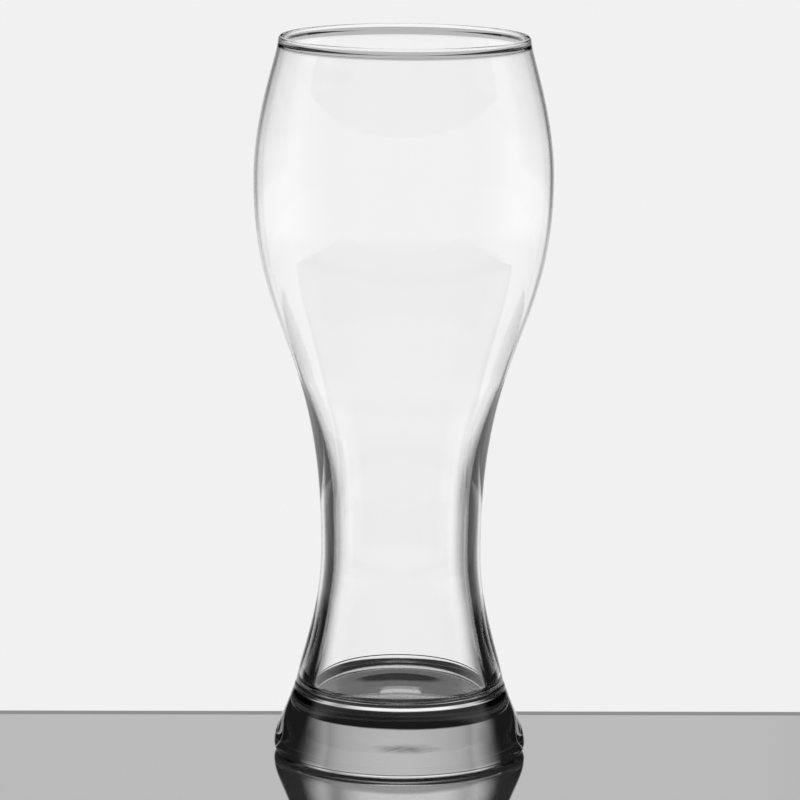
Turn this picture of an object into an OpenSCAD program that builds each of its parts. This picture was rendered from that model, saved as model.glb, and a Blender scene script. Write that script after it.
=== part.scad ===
// Tall beer glass: a round bulb, a narrow waist and a heavy flared foot, blown and pressed as one piece.
// The wall is a single revolved section. Its outer line is a chain of smooth curves, and its inner line
// follows the outer one at a wall thickness that changes with height: thin in the bulb, heavy in the foot.
// Millimetres, +Z up. The origin is the centre of the plane that the foot rests on.

/* [Heights] */
// Height from the table to the top of the rim
total_h = 218; // [205:1:235]
// Height of the widest place of the bulb
bulb_h = 175.5; // [165:0.5:185]
// Height of the narrowest place of the waist
waist_h = 62; // [52:1:72]
// Height of the shoulder where the foot begins
shoulder_h = 20.4; // [17:0.2:24]
// Height of the cavity's floor at its edge, which is also the depth of solid glass in the foot
floor_h = 19.2; // [14:0.2:21]

/* [Diameters] */
// Outer diameter of the rim
rim_d = 75.3; // [68:0.1:82]
// Outer diameter of the bulb
bulb_d = 89.8; // [84:0.2:98]
// Outer diameter of the waist
waist_d = 48.2; // [43:0.2:54]
// Outer diameter of the foot at its shoulder
shoulder_d = 63.9; // [60:0.1:68]
// Largest diameter of the foot
foot_d = 76.2; // [72:0.2:84]

/* [Wall] */
// Wall thickness of the bulb
bulb_wall = 1; // [0.8:0.1:1.6]
// Wall thickness at the waist and just above it, where the glass is heavy
waist_wall = 3.8; // [2.4:0.1:5]
// Wall thickness of the stem between the waist and the foot
stem_wall = 3.8; // [2:0.1:5]
// Wall thickness just above the cavity's floor
base_wall = 4.8; // [3:0.1:7]
// How far above the waist the wall starts to thin towards the bulb
thick_rise = 14; // [4:1:24]
// How far below the waist the wall starts to change towards the foot's
thin_drop = 14; // [4:1:20]
// Height over which the waist's wall thins to the bulb's
neck_run = 40; // [30:1:60]

/* [Rim] */
// Thickness of the fire-rounded bead at the rim
bead_d = 1.9; // [1.4:0.1:2.8]
// Height over which the wall swells into the bead
bead_run = 2; // [1:0.5:6]

/* [Foot] */
// Radius of the rounded heel under the foot's widest place
heel_r = 2.4; // [1.5:0.1:4]
// Width of the flat ring that the foot rests on
ring_w = 4; // [2:0.5:8]
// Depth of the hollow under the foot
push_up = 0.2; // [0.1:0.1:3]
// Radius of the round between the cavity's wall and its floor
floor_r = 3; // [2:0.5:8]
// How much deeper the cavity's floor is at its centre than at its edge
floor_dip = 0.1; // [0:0.1:1.5]
// Radius and width of the small ridge at the shoulder
ridge = 0.3; // [0.1:0.05:0.6]

/* [Curves] */
// Lean of the foot's side at the shoulder, in degrees from upright
flank_lean = 20; // [10:1:28]
// Lean of the stem just above the shoulder, in degrees from upright
stem_lean = 10; // [0:1:16]
// Pull of the heel on the foot's side, as a share of the side's height
heel_pull = 0.24; // [0.1:0.02:0.4]
// Pull of the shoulder on the foot's side, as a share of the side's height
flank_pull = 0.66; // [0.2:0.02:0.7]
// Pull of the shoulder on the stem, as a share of the stem's height
stem_pull = 0.25; // [0.1:0.01:0.5]
// Pull of the waist on the stem, as a share of the stem's height
waist_low_pull = 0.43; // [0.2:0.01:0.6]
// Pull of the waist on the neck, as a share of the height from waist to bulb
waist_high_pull = 0.57; // [0.3:0.01:0.65]
// Pull of the bulb on the neck, as a share of the height from waist to bulb
bulb_low_pull = 0.42; // [0.25:0.01:0.55]
// Pull of the bulb on the shape above it, as a share of the height from bulb to rim
bulb_high_pull = 0.47; // [0.3:0.01:0.6]
// Pull of the rim on the shape below it, as a share of the height from bulb to rim
rim_pull = 0.1; // [0.05:0.01:0.4]

/* [Hidden] */
$fn = 144;

// Segments along a long curve, a short curve and a small round
long_n = 28;
short_n = 12;
round_n = 8;
// Handle length that makes a cubic curve follow a quarter circle of radius 1
quarter = 0.5523;

bead_r = bead_d / 2;
rim_r = rim_d / 2;
bulb_r = bulb_d / 2;
waist_r = waist_d / 2;
shoulder_r = shoulder_d / 2;
foot_r = foot_d / 2;

// Where the outer line's curves meet
bead_h = total_h - bead_r;
stem_r = shoulder_r - ridge;
stem_h = shoulder_h + ridge;
ring_r = foot_r - heel_r;
hollow_r = ring_r - ring_w;

// Heights at which the wall has its named thicknesses
base_wall_h = floor_h + floor_r;
stem_wall_h = waist_h - thin_drop;
waist_wall_h = waist_h + thick_rise;
neck_wall_h = waist_wall_h + neck_run;
bead_wall_h = bead_h - bead_run;

glass_tint = [0.88, 0.92, 0.93, 0.5];

// Point at the share t of a cubic curve with ends a and d and handles b and c
function cubic(a, b, c, d, t) =
    pow(1 - t, 3) * a + 3 * pow(1 - t, 2) * t * b + 3 * (1 - t) * t * t * c + t * t * t * d;

// The curve's points after its start, so that curves can be chained
function curve(a, b, c, d, n) = [for (i = [1:n]) cubic(a, b, c, d, i / n)];

// Points of a round about centre, after its start, turning from one angle to another
function round_off(centre, radius, from, to, n) =
    [for (i = [1:n]) let (turn = from + (to - from) * i / n) centre + radius * [cos(turn), sin(turn)]];

// Step of a given length along a line that leans inwards as it rises
function up_lean(lean, length) = length * [-sin(lean), cos(lean)];

// Eases from 0 to 1 with a level start and a level end
function ease(t) = let (s = min(1, max(0, t))) s * s * (3 - 2 * s);

// Value that eases from a to b between the heights low and high
function blend(z, low, high, a, b) = a + (b - a) * ease((z - low) / (high - low));

// Thickness of the wall at height z, measured level
function wall_at(z) =
    z < stem_wall_h ? blend(z, base_wall_h, stem_wall_h, base_wall, stem_wall)
    : z < waist_wall_h ? blend(z, stem_wall_h, waist_wall_h, stem_wall, waist_wall)
    : z < bead_wall_h ? blend(z, waist_wall_h, neck_wall_h, waist_wall, bulb_wall)
    : blend(z, bead_wall_h, bead_h, bulb_wall, bead_d);

// Heel: from the resting ring round to the foot's widest place
function heel() = concat(
    [[ring_r, 0]],
    round_off([ring_r, heel_r], heel_r, -90, 0, round_n));

// Side of the foot, from the heel up to the shoulder and over its ridge
function flank() = let (rise = shoulder_h - heel_r, start = [foot_r, heel_r], end = [shoulder_r, shoulder_h])
    concat(
        curve(start, start + [0, heel_pull * rise], end - up_lean(flank_lean, flank_pull * rise), end, short_n),
        round_off([stem_r, shoulder_h], ridge, 0, 90, round_n / 2));

// Stem, from the shoulder up to the waist
function stem() = let (rise = waist_h - stem_h, start = [stem_r, stem_h], end = [waist_r, waist_h])
    curve(start, start + up_lean(stem_lean, stem_pull * rise), end - [0, waist_low_pull * rise], end, short_n);

// Neck and lower half of the bulb
function neck() = let (rise = bulb_h - waist_h, start = [waist_r, waist_h], end = [bulb_r, bulb_h])
    curve(start, start + [0, waist_high_pull * rise], end - [0, bulb_low_pull * rise], end, long_n);

// Upper half of the bulb, up to the middle of the rim's bead
function crown() = let (rise = bead_h - bulb_h, start = [bulb_r, bulb_h], end = [rim_r, bead_h])
    curve(start, start + [0, bulb_high_pull * rise], end - [0, rim_pull * rise], end, short_n);

// Bead: a half round over the top of the wall
function bead() = round_off([rim_r - bead_r, bead_h], bead_r, 0, 180, 2 * round_n);

outer_side = concat(stem(), neck(), crown());
outer_table = [for (p = outer_side) [p.y, p.x]];

// Radius of the cavity at height z
function cavity_r(z) = lookup(z, outer_table) - wall_at(z);

// Cavity's wall, from below the bead down to the round above the floor
function cavity_side() = let (levels = [for (p = outer_side) if (p.y > base_wall_h && p.y < bead_h) p.y])
    concat(
        [for (i = [len(levels) - 1:-1:0]) [cavity_r(levels[i]), levels[i]]],
        [[cavity_r(base_wall_h), base_wall_h]]);

// Round at the foot of the cavity and its dished floor, in to the axis
function cavity_floor() =
    let (top = [cavity_r(base_wall_h), base_wall_h],
         lean = atan(cavity_r(base_wall_h) - cavity_r(base_wall_h + 1)),
         edge = [top.x - floor_r, floor_h],
         handle = quarter * floor_r)
    concat(
        curve(top, top - up_lean(lean, handle), edge + [handle, 0], edge, round_n),
        curve(edge, edge - [edge.x * quarter, 0], [edge.x * quarter, floor_h - floor_dip],
              [0, floor_h - floor_dip], round_n));

// Hollow under the foot, from the axis out to the resting ring
function hollow() = concat(
    [[0, push_up]],
    curve([0, push_up], [hollow_r * quarter, push_up], [hollow_r * (1 - quarter / 2), push_up / 2],
          [hollow_r, 0], round_n));

function section() = concat(heel(), flank(), outer_side, bead(), cavity_side(), cavity_floor(), hollow());

module glass() {
    color(glass_tint)
        rotate_extrude()
            polygon(section());
}

glass();
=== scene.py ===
"""Tall clear beer glass, dressed for a picture, with the stage that it is shown on.

The glass is one piece: bowl, waist, stem, solid base and foot. It is spun from the same section as the
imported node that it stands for. The rest is stage: a glossy tabletop, a light tent and low dark screens that
draw the glass's outlines, a soft lamp and the camera. Metres, +Z up, the foot rests on z = 0.
"""

import logging
import math
from dataclasses import dataclass, field
from enum import Enum
from typing import Any

import bmesh
import bpy
from mathutils import Matrix, Quaternion, Vector


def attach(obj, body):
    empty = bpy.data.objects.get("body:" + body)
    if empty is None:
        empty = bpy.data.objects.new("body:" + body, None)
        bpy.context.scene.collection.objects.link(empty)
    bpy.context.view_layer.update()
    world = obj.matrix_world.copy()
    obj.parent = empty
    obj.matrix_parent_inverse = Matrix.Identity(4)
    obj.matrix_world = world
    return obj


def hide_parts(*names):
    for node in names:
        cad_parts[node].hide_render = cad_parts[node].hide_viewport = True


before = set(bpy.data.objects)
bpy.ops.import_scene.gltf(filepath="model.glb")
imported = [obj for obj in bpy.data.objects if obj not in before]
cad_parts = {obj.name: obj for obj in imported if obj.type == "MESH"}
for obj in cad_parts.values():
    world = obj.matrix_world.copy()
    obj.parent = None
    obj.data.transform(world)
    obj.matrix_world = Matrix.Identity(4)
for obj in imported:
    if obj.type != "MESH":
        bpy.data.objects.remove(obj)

log = logging.getLogger("beer_glass")
MM = 0.001
# Handle length that makes a cubic curve follow a quarter circle of radius 1
QUARTER = 0.5523


class Ray(Enum):
    """Kinds of ray that a stage piece can tell apart."""

    CAMERA = "Is Camera Ray"
    TRANSMISSION = "Is Transmission Ray"


class Easing(Enum):
    """How a value moves between its two ends."""

    STRAIGHT = "LINEAR"
    SMOOTH = "SMOOTHSTEP"


class Signal:
    """A node's output that takes part in arithmetic: an expression adds its Math nodes."""

    def __init__(self, sheet: "NodeSheet", socket: bpy.types.NodeSocket) -> None:
        """Keeps the sheet that holds the node, and the node's output socket."""
        self.sheet = sheet
        self.socket = socket

    def maths(self, operation: str, *values: Any) -> "Signal":
        """Adds a Math node.

        Args:
            operation: the node's operation.
            values: the node's inputs in order, as signals or numbers.

        Returns:
            The node's result.
        """
        inputs = dict(enumerate(values))
        return self.sheet.signal("ShaderNodeMath", 0, {"operation": operation}, inputs)

    def __add__(self, other: Any) -> "Signal":
        """Sum."""
        return self.maths("ADD", self, other)

    __radd__ = __add__

    def __sub__(self, other: Any) -> "Signal":
        """Difference."""
        return self.maths("SUBTRACT", self, other)

    def __rsub__(self, other: Any) -> "Signal":
        """Difference from a plain number."""
        return self.maths("SUBTRACT", other, self)

    def __mul__(self, other: Any) -> "Signal":
        """Product."""
        return self.maths("MULTIPLY", self, other)

    __rmul__ = __mul__

    def __truediv__(self, other: Any) -> "Signal":
        """Quotient."""
        return self.maths("DIVIDE", self, other)

    def __neg__(self) -> "Signal":
        """The same value with its sign changed."""
        return self * -1.0

    def __abs__(self) -> "Signal":
        """Size of the value."""
        return self.maths("ABSOLUTE", self)

    def over(self, other: Any) -> "Signal":
        """The larger of this and another value."""
        return self.maths("MAXIMUM", self, other)

    def eased(self, start: float, end: float, low: float = 0.0, high: float = 1.0,
              easing: Easing = Easing.SMOOTH) -> "Signal":
        """Moves from one value to another while this signal goes from start to end.

        Args:
            start: where the move starts.
            end: where the move ends.
            low: value before the start.
            high: value after the end.
            easing: how the value moves in between.

        Returns:
            The eased value.
        """
        inputs = {"Value": self, "From Min": start, "From Max": end, "To Min": low, "To Max": high}
        return self.sheet.signal("ShaderNodeMapRange", 0, {"interpolation_type": easing.value}, inputs)

    def between(self, rise: tuple[float, float], fall: tuple[float, float]) -> "Signal":
        """1 between a rise and a fall, and 0 outside them.

        Args:
            rise: where the signal's band starts, and where it is full.
            fall: where the band's full part ends, and where it is gone.

        Returns:
            The band.
        """
        return self.eased(*rise) * self.eased(*fall, 1.0, 0.0)


class NodeSheet:
    """The nodes of one material or world."""

    def __init__(self, tree: bpy.types.NodeTree) -> None:
        """Starts from an empty tree."""
        tree.nodes.clear()
        self.tree = tree

    def node(self, kind: str, settings: dict[str, Any] | None = None,
             inputs: dict[Any, Any] | None = None) -> bpy.types.Node:
        """Adds a node.

        Args:
            kind: the node's type.
            settings: the node's own settings, set before its sockets.
            inputs: values, signals or sockets, by the input's name or place.

        Returns:
            The node.
        """
        made = self.tree.nodes.new(kind)
        for name, value in (settings or {}).items():
            setattr(made, name, value)
        for name, value in (inputs or {}).items():
            source = value.socket if isinstance(value, Signal) else value
            if isinstance(source, bpy.types.NodeSocket):
                self.tree.links.new(source, made.inputs[name])
            else:
                made.inputs[name].default_value = source
        return made

    def signal(self, kind: str, output: Any = 0, settings: dict[str, Any] | None = None,
               inputs: dict[Any, Any] | None = None) -> Signal:
        """Adds a node and gives one of its outputs as a signal."""
        return Signal(self, self.node(kind, settings, inputs).outputs[output])

    def place(self) -> tuple[Signal, Signal, Signal]:
        """Object coordinates of the shaded point, one signal for each axis."""
        spot = self.signal("ShaderNodeTexCoord", "Object")
        parts = self.node("ShaderNodeSeparateXYZ", inputs={0: spot})
        return tuple(Signal(self, parts.outputs[axis]) for axis in range(3))

    def seen_by(self, ray: Ray) -> Signal:
        """1 where the named kind of ray looks, and 0 for the rest."""
        return self.signal("ShaderNodeLightPath", ray.value)

    def glow(self, level: Any) -> Signal:
        """Light of a given level, without a colour of its own."""
        colour = level if isinstance(level, Signal) else (level, level, level, 1)
        return self.signal("ShaderNodeEmission", inputs={"Color": colour, "Strength": 1.0})

    def mixed(self, share: Any, first: Signal, second: Signal) -> Signal:
        """Two shaders in one: the share is that of the second."""
        return self.signal("ShaderNodeMixShader", inputs={0: share, 1: first, 2: second})

    def finish(self, kind: str, shader: Signal) -> None:
        """Leads a shader to the sheet's output."""
        self.node(kind, inputs={"Surface": shader})


def new_material(name: str) -> tuple[bpy.types.Material, NodeSheet]:
    """Makes an empty material.

    Args:
        name: the material's name.

    Returns:
        The material and its sheet of nodes.
    """
    material = bpy.data.materials.new(name)
    material.use_nodes = True
    return material, NodeSheet(material.node_tree)


def new_object(name: str, shape: bmesh.types.BMesh, smooth: bool = True) -> bpy.types.Object:
    """Turns a finished bmesh into an object at the origin.

    Args:
        name: the object's name.
        shape: the bmesh, which is freed.
        smooth: whether the faces shade smoothly.

    Returns:
        The object.
    """
    for face in shape.faces:
        face.smooth = smooth
    mesh = bpy.data.meshes.new(name)
    shape.to_mesh(mesh)
    shape.free()
    made = bpy.data.objects.new(name, mesh)
    bpy.context.scene.collection.objects.link(made)
    return made


def flat(r: float, z: float) -> Vector:
    """A point of the section: radius and height."""
    return Vector((r, z))


def curve(start: Vector, pull: Vector, push: Vector, end: Vector, count: int) -> list[Vector]:
    """Draws a cubic curve.

    Args:
        start: first end, which is left out so that curves can be chained.
        pull: handle of the first end.
        push: handle of the second end.
        end: second end.
        count: number of points.

    Returns:
        The curve's points.
    """
    points = []
    for step in range(1, count + 1):
        t = step / count
        s = 1 - t
        points.append(s ** 3 * start + 3 * s * s * t * pull + 3 * s * t * t * push + t ** 3 * end)
    return points


def round_off(centre: Vector, radius: float, start: float, end: float, count: int) -> list[Vector]:
    """Draws a round.

    Args:
        centre: the round's centre.
        radius: its radius.
        start: angle of its start in degrees, which is left out.
        end: angle of its end in degrees.
        count: number of points.

    Returns:
        The round's points.
    """
    turns = [math.radians(start + (end - start) * step / count) for step in range(1, count + 1)]
    return [centre + radius * flat(math.cos(turn), math.sin(turn)) for turn in turns]


def up_lean(lean: float, length: float) -> Vector:
    """A step along a line that leans inwards by some degrees as it rises."""
    return length * flat(-math.sin(math.radians(lean)), math.cos(math.radians(lean)))


def blend(z: float, low: float, high: float, a: float, b: float) -> float:
    """Eases from a to b between two heights, level at both ends."""
    t = min(1.0, max(0.0, (z - low) / (high - low)))
    return a + (b - a) * t * t * (3 - 2 * t)


@dataclass(frozen=True)
class Section:
    """The glass's section: heights, diameters, walls and the curves between them."""

    total_h: float = 218 * MM
    bulb_h: float = 175.5 * MM
    waist_h: float = 62 * MM
    shoulder_h: float = 20.4 * MM
    floor_h: float = 19.2 * MM
    rim_d: float = 75.3 * MM
    bulb_d: float = 89.8 * MM
    waist_d: float = 48.2 * MM
    shoulder_d: float = 63.9 * MM
    foot_d: float = 76.2 * MM
    bulb_wall: float = 1.0 * MM
    waist_wall: float = 3.8 * MM
    stem_wall: float = 3.8 * MM
    base_wall: float = 4.8 * MM
    thick_rise: float = 14 * MM
    thin_drop: float = 14 * MM
    neck_run: float = 40 * MM
    bead_d: float = 1.9 * MM
    bead_run: float = 2 * MM
    heel_r: float = 2.4 * MM
    ring_w: float = 4 * MM
    push_up: float = 0.2 * MM
    floor_r: float = 3 * MM
    floor_dip: float = 0.1 * MM
    ridge: float = 0.3 * MM
    flank_lean: float = 20
    stem_lean: float = 10
    heel_pull: float = 0.24
    flank_pull: float = 0.66
    stem_pull: float = 0.25
    waist_low_pull: float = 0.43
    waist_high_pull: float = 0.57
    bulb_low_pull: float = 0.42
    bulb_high_pull: float = 0.47
    rim_pull: float = 0.1
    ring_marks: tuple[float, ...] = (0.08, 0.5, 0.92, 1)
    long_n: int = 64
    short_n: int = 28
    round_n: int = 14

    @property
    def ring_r(self) -> float:
        """Outer radius of the flat ring that the foot rests on."""
        return self.foot_d / 2 - self.heel_r

    @property
    def bead_h(self) -> float:
        """Height of the middle of the rim's bead."""
        return self.total_h - self.bead_d / 2

    @property
    def base_wall_h(self) -> float:
        """Height at which the cavity's wall starts, above the round at its floor."""
        return self.floor_h + self.floor_r

    def wall_at(self, z: float) -> float:
        """Thickness of the wall at a height, measured level."""
        stem_h = self.waist_h - self.thin_drop
        waist_h = self.waist_h + self.thick_rise
        bead_h = self.bead_h - self.bead_run
        if z < stem_h:
            return blend(z, self.base_wall_h, stem_h, self.base_wall, self.stem_wall)
        if z < waist_h:
            return blend(z, stem_h, waist_h, self.stem_wall, self.waist_wall)
        if z < bead_h:
            return blend(z, waist_h, waist_h + self.neck_run, self.waist_wall, self.bulb_wall)
        return blend(z, bead_h, self.bead_h, self.bulb_wall, self.bead_d)

    def underside(self) -> list[Vector]:
        """The shallow hollow under the foot, from the axis, and the flat ring round it."""
        top = flat(0, self.push_up)
        edge = flat(self.ring_r - self.ring_w, 0)
        hollow = curve(top, flat(edge.x * QUARTER, self.push_up),
                       flat(edge.x * (1 - QUARTER / 2), self.push_up / 2), edge, self.round_n)
        ring = [edge + flat(self.ring_w * share, 0) for share in self.ring_marks]
        return [top] + hollow + ring

    def foot(self) -> list[Vector]:
        """The heel's round, the foot's flared side and the small ridge at its shoulder."""
        heel = round_off(flat(self.ring_r, self.heel_r), self.heel_r, -90, 0, self.round_n)
        rise = self.shoulder_h - self.heel_r
        start = flat(self.foot_d / 2, self.heel_r)
        end = flat(self.shoulder_d / 2, self.shoulder_h)
        side = curve(start, start + flat(0, self.heel_pull * rise),
                     end - up_lean(self.flank_lean, self.flank_pull * rise), end, self.short_n)
        ridge = round_off(end - flat(self.ridge, 0), self.ridge, 0, 90, self.round_n // 2)
        return heel + side + ridge

    def outer_side(self) -> list[Vector]:
        """Stem, neck, bulb and crown, from the shoulder up to the rim's bead."""
        shoulder = flat(self.shoulder_d / 2 - self.ridge, self.shoulder_h + self.ridge)
        waist = flat(self.waist_d / 2, self.waist_h)
        bulb = flat(self.bulb_d / 2, self.bulb_h)
        rim = flat(self.rim_d / 2, self.bead_h)
        up = flat(0, 1)
        low = self.waist_h - shoulder.y
        mid = self.bulb_h - self.waist_h
        high = self.bead_h - self.bulb_h
        stem = curve(shoulder, shoulder + up_lean(self.stem_lean, self.stem_pull * low),
                     waist - up * self.waist_low_pull * low, waist, self.short_n)
        neck = curve(waist, waist + up * self.waist_high_pull * mid,
                     bulb - up * self.bulb_low_pull * mid, bulb, self.long_n)
        crown = curve(bulb, bulb + up * self.bulb_high_pull * high,
                      rim - up * self.rim_pull * high, rim, self.short_n)
        return stem + neck + crown

    def bead(self) -> list[Vector]:
        """The fire-rounded bead over the top of the wall."""
        centre = flat(self.rim_d / 2 - self.bead_d / 2, self.bead_h)
        return round_off(centre, self.bead_d / 2, 0, 180, 2 * self.round_n)

    def cavity(self) -> list[Vector]:
        """The cavity's wall, the round at its foot and its floor, in to the axis."""
        def radius(z: float) -> float:
            """Radius of the cavity at a height."""
            above = next(i for i, point in enumerate(outer) if point.y >= z)
            low, high = outer[max(above - 1, 0)], outer[above]
            share = (z - low.y) / (high.y - low.y) if high.y > low.y else 0
            return low.x + (high.x - low.x) * share - self.wall_at(z)

        outer = self.outer_side()
        heights = [point.y for point in outer if self.base_wall_h < point.y < self.bead_h]
        side = [flat(radius(z), z) for z in reversed(heights)]
        top = flat(radius(self.base_wall_h), self.base_wall_h)
        lean = math.degrees(math.atan((top.x - radius(self.base_wall_h + MM)) / MM))
        edge = flat(top.x - self.floor_r, self.floor_h)
        handle = QUARTER * self.floor_r
        corner = curve(top, top - up_lean(lean, handle), edge + flat(handle, 0), edge, self.round_n)
        centre = flat(0, self.floor_h - self.floor_dip)
        floor = curve(edge, flat(edge.x * (1 - QUARTER), edge.y), flat(edge.x * QUARTER, centre.y),
                      centre, self.round_n)
        return side + [top] + corner + floor

    def outline(self) -> list[Vector]:
        """The whole section, from the axis under the foot to the axis on the cavity's floor."""
        return self.underside() + self.foot() + self.outer_side() + self.bead() + self.cavity()


@dataclass(frozen=True)
class ClearGlass:
    """Clear soda-lime glass: smooth outside, with faint flow marks in the heavy base."""

    name: str = "clear_glass"
    colour: tuple[float, float, float] = (1.0, 1.0, 1.0)
    ior: float = 1.52
    roughness: float = 0.0
    flow_depth: float = 0.000004
    flow_size: float = 90.0
    flow_detail: float = 2.0
    flow_twist: float = 1.2
    flow_top: tuple[float, float] = (20 * MM, 24 * MM)

    def material(self) -> bpy.types.Material:
        """Builds the finish.

        Returns:
            The material.
        """
        material, sheet = new_material(self.name)
        _, _, z = sheet.place()
        flow = sheet.signal("ShaderNodeTexNoise", "Fac", {"noise_dimensions": "3D"}, {
            "Vector": sheet.signal("ShaderNodeTexCoord", "Object"), "Scale": self.flow_size,
            "Detail": self.flow_detail, "Distortion": self.flow_twist})
        height = flow * z.eased(*self.flow_top, 1.0, 0.0)
        bump = sheet.signal("ShaderNodeBump", "Normal",
                            inputs={"Height": height, "Distance": self.flow_depth, "Strength": 1.0})
        shader = sheet.signal("ShaderNodeBsdfPrincipled", "BSDF", inputs={
            "Base Color": (*self.colour, 1), "Roughness": self.roughness, "IOR": self.ior,
            "Transmission Weight": 1.0, "Normal": bump})
        sheet.finish("ShaderNodeOutputMaterial", shader)
        return material


@dataclass
class BeerGlass:
    """The glass itself: one spun piece."""

    section: Section = field(default_factory=Section)
    finish: ClearGlass = field(default_factory=ClearGlass)
    name: str = "beer_glass"
    steps: int = 264
    merge: float = 0.0005 * MM

    def mesh(self) -> bpy.types.Object:
        """Spins the section about the axis.

        Returns:
            The glass's object.
        """
        shape = bmesh.new()
        verts = [shape.verts.new((point.x, 0, point.y)) for point in self.section.outline()]
        edges = [shape.edges.new(pair) for pair in zip(verts, verts[1:])]
        bmesh.ops.spin(shape, geom=verts + edges, cent=(0, 0, 0), axis=(0, 0, 1),
                       angle=math.tau, steps=self.steps, use_merge=True)
        bmesh.ops.remove_doubles(shape, verts=shape.verts, dist=self.merge)
        bmesh.ops.recalc_face_normals(shape, faces=shape.faces)
        return new_object(self.name, shape)

    def dress(self, piece: bpy.types.Object) -> None:
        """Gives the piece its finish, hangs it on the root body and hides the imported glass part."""
        piece.data.materials.append(self.finish.material())
        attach(piece, "root")
        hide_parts("glass")

    def build(self) -> bpy.types.Object:
        """Makes and dresses the glass."""
        piece = self.mesh()
        self.dress(piece)
        faces = len(piece.data.polygons)
        log.info("%s: %d faces, %.1f mm high", piece.name, faces, self.section.total_h / MM)
        return piece


@dataclass
class Viewpoint:
    """The camera, at the photograph's viewing angle."""

    distance: float = 1.426
    height: float = 0.367
    side: float = -0.0006
    pitch: float = 10.29
    roll: float = 0.45
    focal_px: float = 4816
    frame_px: float = 800
    sensor: float = 36
    reach: float = 50

    def build(self) -> bpy.types.Object:
        """Makes the camera and hands it to the scene.

        Returns:
            The camera's object.
        """
        data = bpy.data.cameras.new("camera")
        data.sensor_width = self.sensor
        data.lens = self.focal_px / self.frame_px * self.sensor
        data.clip_end = self.reach
        camera = bpy.data.objects.new("camera", data)
        bpy.context.scene.collection.objects.link(camera)
        camera.location = (self.side, -self.distance, self.height)
        tilt = math.radians(self.pitch)
        aim = Vector((0, math.cos(tilt), -math.sin(tilt)))
        camera.rotation_mode = "QUATERNION"
        camera.rotation_quaternion = (aim.to_track_quat("-Z", "Y")
                                      @ Quaternion((0, 0, 1), math.radians(self.roll)))
        bpy.context.scene.camera = camera
        log.info("camera: %.1f mm lens, %.3f m away", data.lens, self.distance)
        return camera


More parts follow.
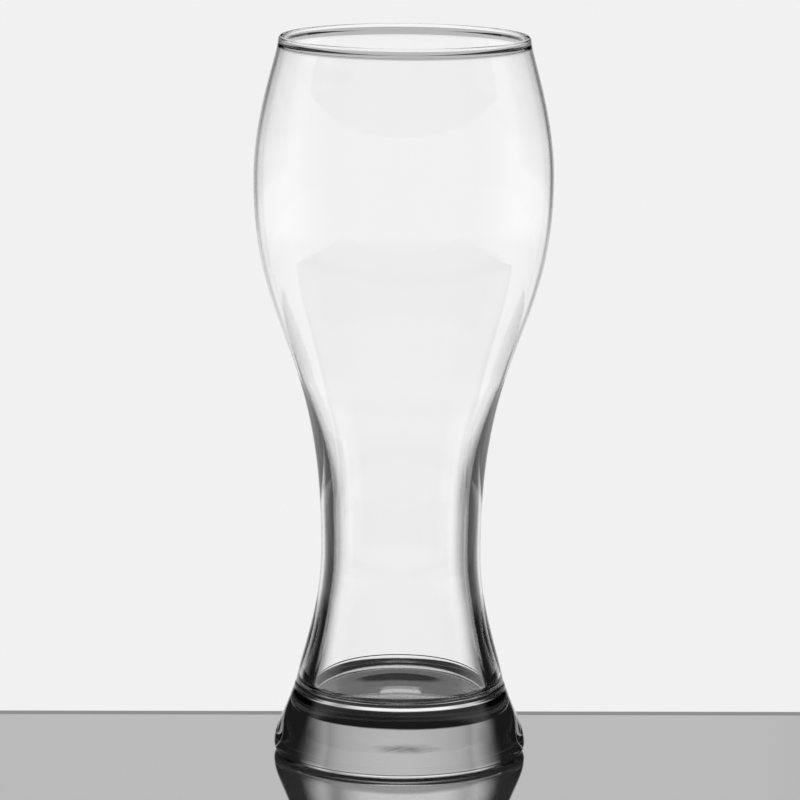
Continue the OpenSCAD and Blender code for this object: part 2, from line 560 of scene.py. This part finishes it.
@dataclass
class LightTent:
    """A tent round the glass, which goes with the camera and which only glass and gloss see.

    Angles are in degrees from the line of sight: across, and up. Behind the glass stands a low white wall
    with two soft dark panels in it. A grey band lies over the wall, then a dark gap, then the white roof.
    Wall and band are dimmer on the camera's side. What the glass mirrors has its own tent: white, with two
    black cards, a black gap, a grey hood and a grey rear.
    """

    radius: float = 4.0
    halvings: int = 5
    centre: float = 1.45
    wall: float = 0.97
    black: float = 0.01
    right_panel: tuple[float, float] = (7.7, 30.2)
    left_panel: tuple[float, float] = (13.3, 33.7)
    panel_end: tuple[float, float] = (19.7, 30.2)
    panel_top: tuple[float, float] = (6.6, 9.4)
    wall_top: tuple[float, float] = (5.4, 9.6)
    band: float = 0.49
    band_side: tuple[float, float] = (0, 73)
    band_top: tuple[float, float] = (23.2, 23.8)
    roof_edge: tuple[float, float] = (80, 80.7)
    card_side: tuple[tuple[float, float], tuple[float, float]] = ((5, 23.6), (70, 93))
    card_edge: tuple[tuple[float, float], tuple[float, float]] = ((-2.7, 3.3), (52, 58))
    gap_edge: tuple[tuple[float, float], tuple[float, float]] = ((14.5, 16.5), (18.5, 20.5))
    mirrored: float = 0.84
    hood: float = 0.27
    hood_side: tuple[float, float] = (10, 14)
    hood_foot: tuple[float, float] = (-7.4, -6.8)
    rear_side: tuple[float, float] = (110, 125)
    rear_fade: tuple[float, float] = (70, 120)
    rear: float = 0.35

    def across_and_up(self, sheet: NodeSheet) -> tuple[Signal, Signal]:
        """Angles of the shaded point across and up from the line of sight, in degrees."""
        x, y, z = sheet.place()
        across = x.maths("ARCTAN2", x, -z) * math.degrees(1)
        up = y.maths("ARCSINE", y / self.radius) * math.degrees(1)
        return across, up

    def through_glass(self, across: Signal, up: Signal) -> Signal:
        """Light that a ray bent by the glass finds.

        Args:
            across: angle across from the line of sight.
            up: angle up from the line of sight.

        Returns:
            The level of the light.
        """
        aside = abs(across)
        panels = across.eased(*self.right_panel).over((-across).eased(*self.left_panel))
        ends = aside.eased(*self.panel_end)
        low = 1.0 - panels * (1.0 - ends)
        high = aside.eased(*self.band_side, 1.0, 0.0).over(ends)
        share = up.eased(*self.panel_top)
        dimmed = aside.eased(*self.rear_fade, 1.0, self.rear)
        opening = (low * (1.0 - share) + high * share) * dimmed
        level = up.eased(*self.wall_top, self.wall, self.band) * up.eased(*self.band_top, 1.0, 0.0)
        return (level * opening + up.eased(*self.roof_edge)).over(self.black)

    def off_glass(self, across: Signal, up: Signal) -> Signal:
        """Light that a ray mirrored by the glass or the table finds.

        Args:
            across: angle across from the line of sight.
            up: angle up from the line of sight.

        Returns:
            The level of the light.
        """
        aside = abs(across)
        cards = aside.between(*self.card_side) * up.between(*self.card_edge)
        hood = aside.eased(*self.hood_side) * up.eased(*self.hood_foot)
        shade = hood.over(aside.eased(*self.rear_side)) * self.hood
        dark = cards.over(shade).over(up.between(*self.gap_edge))
        return ((1.0 - dark) * self.mirrored).over(self.black)

    def material(self) -> bpy.types.Material:
        """Builds the tent's glow."""
        material, sheet = new_material("tent")
        across, up = self.across_and_up(sheet)
        share = sheet.seen_by(Ray.TRANSMISSION)
        light = self.through_glass(across, up) * share + self.off_glass(across, up) * (1.0 - share)
        sheet.finish("ShaderNodeOutputMaterial", sheet.glow(light))
        return material

    def build(self, camera: bpy.types.Object) -> bpy.types.Object:
        """Makes the tent and hangs it on the camera.

        Args:
            camera: the camera, whose line of sight the tent's wall stands across.

        Returns:
            The tent's object.
        """
        shape = bmesh.new()
        bmesh.ops.create_icosphere(shape, subdivisions=self.halvings, radius=self.radius)
        tent = new_object("tent", shape)
        tent.parent = camera
        tent.location = (0, 0, -self.centre)
        tent.data.materials.append(self.material())
        tent.visible_camera = False
        tent.visible_diffuse = False
        tent.visible_shadow = False
        log.info("tent: %.1f m across", 2 * self.radius)
        return tent


@dataclass
class DarkScreen:
    """Low dark screens close round the glass, which go with the camera.

    One stands on either side of the line of sight, behind the glass, and one on the camera's side. They end
    below the bulb, so that the heavy stem and foot get their dark edges and the thin bulb stays clear. Only
    rays bent by the glass see them. Angles are in degrees from the line of sight.
    """

    radius: float = 188 * MM
    behind: float = 24 * MM
    bottom: float = -500 * MM
    top: float = -14 * MM
    right_side: tuple[float, float] = (15, 35.5)
    left_side: tuple[float, float] = (16.2, 37.5)
    far_side: tuple[float, float] = (64.7, 70.4)
    rear_side: tuple[float, float] = (100, 115)
    level: float = 0.01
    steps: int = 128

    def material(self) -> bpy.types.Material:
        """Builds the screens' finish: dark, and clear where no screen stands."""
        material, sheet = new_material("dark_screen")
        x, _, z = sheet.place()
        across = x.maths("ARCTAN2", x, -z) * math.degrees(1)
        aside = abs(across)
        sides = across.eased(*self.right_side).over((-across).eased(*self.left_side))
        screen = (sides * aside.eased(*self.far_side, 1.0, 0.0)).over(aside.eased(*self.rear_side))
        clear = sheet.signal("ShaderNodeBsdfTransparent")
        sheet.finish("ShaderNodeOutputMaterial", sheet.mixed(screen, clear, sheet.glow(self.level)))
        return material

    def build(self, camera: bpy.types.Object, centre: float) -> bpy.types.Object:
        """Makes the screens and hangs them on the camera.

        Args:
            camera: the camera, whose line of sight the screens stand beside.
            centre: distance of the tent's centre from the camera.

        Returns:
            The screens' object.
        """
        shape = bmesh.new()
        bmesh.ops.create_cone(shape, segments=self.steps, radius1=self.radius, radius2=self.radius,
                              depth=self.top - self.bottom, cap_ends=False)
        bmesh.ops.rotate(shape, verts=shape.verts, matrix=Matrix.Rotation(math.pi / 2, 3, "X"))
        bmesh.ops.translate(shape, verts=shape.verts, vec=(0, (self.top + self.bottom) / 2, 0))
        screen = new_object("dark_screen", shape)
        screen.parent = camera
        screen.location = (0, 0, -centre - self.behind)
        screen.data.materials.append(self.material())
        screen.visible_camera = False
        screen.visible_glossy = False
        screen.visible_diffuse = False
        screen.visible_shadow = False
        log.info("dark screens: %.0f mm from the axis", self.radius / MM)
        return screen


@dataclass
class Tabletop:
    """A dark tabletop with a sharp gloss, which looks pale because it mirrors the tent.

    Its back edge shows as a fine line behind the glass: painted shade, a dark grey band in the white glow
    just beyond the edge.
    """

    reach: float = 12.0
    side_edge: float = 0.42
    front_edge: float = 0.42
    back_edge: float = 42.4 * MM
    edge_turn: float = -1.42
    # Painted shade: width and level of the dark grey line in the glow just beyond the back edge
    shade_line_width: float = 4.5 * MM
    edge_and_shade_line_blur: tuple[float, float] = (0.5 * MM, 1 * MM)
    shade_line_level: float = 0.27
    white: float = 0.88
    gloss: float = 0.57
    polish: float = 0.03
    paint: float = 0.05

    def material(self) -> bpy.types.Material:
        """Builds the table's finish, the painted shade line along its back edge and the white glow beyond it.
        """
        material, sheet = new_material("tabletop")
        x, y, _ = sheet.place()
        back = y + x * math.tan(math.radians(self.edge_turn)) - self.back_edge
        outside = back.over(abs(x) - self.side_edge).over(-y - self.front_edge)
        near_blur, shade_line_blur = self.edge_and_shade_line_blur
        beyond = outside.eased(0.0, near_blur, easing=Easing.STRAIGHT)
        # Painted shade: just beyond the back edge the white glow is held at a dark grey level, then rises to
        # white
        white = outside.eased(self.shade_line_width, self.shade_line_width + shade_line_blur, self.shade_line_level, self.white)
        paint = sheet.signal("ShaderNodeBsdfDiffuse", inputs={"Color": (self.paint,) * 3 + (1,)})
        polish = sheet.signal("ShaderNodeBsdfAnisotropic",
                              inputs={"Color": (1, 1, 1, 1), "Roughness": self.polish})
        table = sheet.mixed(self.gloss, paint, polish)
        clear = sheet.signal("ShaderNodeBsdfTransparent")
        backdrop = sheet.mixed(sheet.seen_by(Ray.CAMERA), clear, sheet.glow(white))
        sheet.finish("ShaderNodeOutputMaterial", sheet.mixed(beyond, table, backdrop))
        return material

    def build(self) -> bpy.types.Object:
        """Makes the tabletop.

        Returns:
            The tabletop's object.
        """
        shape = bmesh.new()
        bmesh.ops.create_grid(shape, x_segments=1, y_segments=1, size=self.reach)
        table = new_object("tabletop", shape, smooth=False)
        table.data.materials.append(self.material())
        log.info("tabletop: back edge %.0f mm behind the axis", self.back_edge / MM)
        return table


@dataclass
class StudioLight:
    """A pale room all round and one wide soft lamp overhead, which light all but glass and gloss."""

    room: float = 0.88
    lamp_power: float = 6
    lamp_size: float = 1.6
    lamp_place: tuple[float, float, float] = (-0.5, -0.3, 2.0)

    def build(self) -> None:
        """Lights the scene."""
        world = bpy.data.worlds.new("room")
        world.use_nodes = True
        sheet = NodeSheet(world.node_tree)
        room = sheet.signal("ShaderNodeBackground",
                            inputs={"Color": (1, 1, 1, 1), "Strength": self.room})
        sheet.finish("ShaderNodeOutputWorld", room)
        bpy.context.scene.world = world
        lamp = bpy.data.lights.new("soft_lamp", "AREA")
        lamp.size = self.lamp_size
        lamp.energy = self.lamp_power
        holder = bpy.data.objects.new("soft_lamp", lamp)
        holder.location = self.lamp_place
        holder.rotation_mode = "QUATERNION"
        holder.rotation_quaternion = (-Vector(self.lamp_place)).to_track_quat("-Z", "Y")
        holder.visible_glossy = False
        holder.visible_transmission = False
        bpy.context.scene.collection.objects.link(holder)
        log.info("light: room at %.2f, lamp of %.0f W", self.room, self.lamp_power)


def main() -> None:
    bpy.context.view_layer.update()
    bpy.context.scene.view_settings.view_transform = "Standard"
    camera = Viewpoint().build()
    BeerGlass().build()
    Tabletop().build()
    tent = LightTent()
    tent.build(camera)
    DarkScreen().build(camera, tent.centre)
    StudioLight().build()


if __name__ == "__main__":
    logging.basicConfig(level=logging.INFO, format="%(name)s: %(message)s")
    main()
